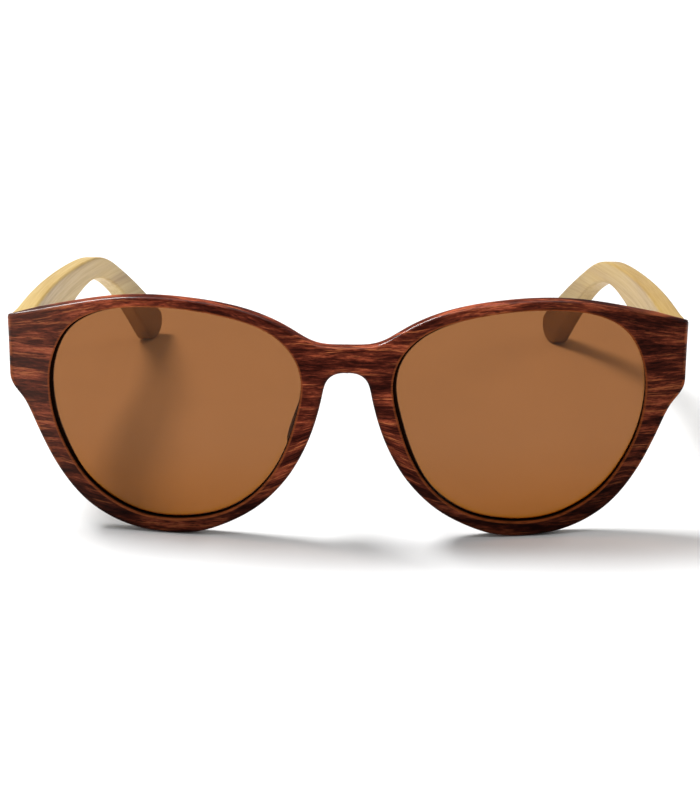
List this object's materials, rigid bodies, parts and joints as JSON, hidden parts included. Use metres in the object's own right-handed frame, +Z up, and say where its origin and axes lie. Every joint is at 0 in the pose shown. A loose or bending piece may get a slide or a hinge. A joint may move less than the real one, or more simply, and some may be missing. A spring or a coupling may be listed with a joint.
{
  "type": "sunglasses",
  "caption": "Open sunglasses: wood-grain moulded front with a wrap, brown tinted lenses in grooves, bamboo temples that fold in and flex out on spring hinges.",
  "frame": {"origin": "on the table under the middle of the open glasses: under the middle of the width, and halfway between the front face and the rear ends of the temples", "axes": "+X to the right as seen from the front, -Y the way the front faces, +Z up with the glasses standing open on the rims' bottoms and the temple tips"},
  "size_m": [0.1438, 0.134, 0.0533],
  "materials": {
    "wood_grain_front": "satin, with a red-brown and near-black wood grain that runs across the front",
    "brown_lens": "polished, brown tint, slightly see-through",
    "nose_pad": "matte dark brown",
    "bamboo": "sanded and oiled, fine straight grain along the temple",
    "hinge_steel": "brushed",
    "screw_steel": "turned",
    "spring_steel": "drawn wire"
  },
  "bodies": {
    "front": {"front_frame": "wood_grain_front", "lens_left": "brown_lens", "lens_right": "brown_lens", "nose_pad_left": "nose_pad", "nose_pad_right": "nose_pad", "front_hinge_leaf_left": "hinge_steel", "front_hinge_leaf_right": "hinge_steel", "front_leaf_screws_left": "screw_steel", "front_leaf_screws_right": "screw_steel"},
    "left_pivot": {"hinge_screw_left": "screw_steel"},
    "left_slider": {"hinge_slider_left": "hinge_steel", "spring_retainer_left": "spring_steel"},
    "left_temple": {"temple_left": "bamboo", "spring_housing_left": "hinge_steel", "housing_screws_left": "screw_steel", "hinge_spring_left": "spring_steel"},
    "right_pivot": {"hinge_screw_right": "screw_steel"},
    "right_slider": {"hinge_slider_right": "hinge_steel", "spring_retainer_right": "spring_steel"},
    "right_temple": {"temple_right": "bamboo", "spring_housing_right": "hinge_steel", "housing_screws_right": "screw_steel", "hinge_spring_right": "spring_steel"}
  },
  "joints": [
    {"name": "left_flex", "type": "hinge", "parent": "front", "child": "left_pivot", "pos_m": [-0.0657, -0.0507, 0.0383], "axis": [0, 0, 1], "range_deg": [0, 5], "stiffness_Nm_per_rad": 0.5, "springref_deg": -5.73},
    {"name": "left_fold", "type": "hinge", "parent": "left_pivot", "child": "left_slider", "pos_m": [-0.0657, -0.0507, 0.0383], "axis": [0, 0, -1], "range_deg": [0, 86]},
    {"name": "left_spring_slide", "type": "slide", "parent": "left_slider", "child": "left_temple", "axis": [0, 1, 0], "range_m": [0, 0.00061], "deforming": ["hinge_spring_left"]},
    {"name": "right_flex", "type": "hinge", "parent": "front", "child": "right_pivot", "pos_m": [0.0657, -0.0507, 0.0383], "axis": [0, 0, -1], "range_deg": [0, 5], "stiffness_Nm_per_rad": 0.5, "springref_deg": -5.73},
    {"name": "right_fold", "type": "hinge", "parent": "right_pivot", "child": "right_slider", "pos_m": [0.0657, -0.0507, 0.0383], "axis": [0, 0, 1], "range_deg": [0, 73]},
    {"name": "right_spring_slide", "type": "slide", "parent": "right_slider", "child": "right_temple", "axis": [0, 1, 0], "range_m": [0, 0.00061], "deforming": ["hinge_spring_right"]}
  ],
  "couplings": [
    {"joint": "left_spring_slide", "follows": "left_flex", "m_per_rad": 0.0068755},
    {"joint": "right_spring_slide", "follows": "right_flex", "m_per_rad": 0.0068755}
  ]
}
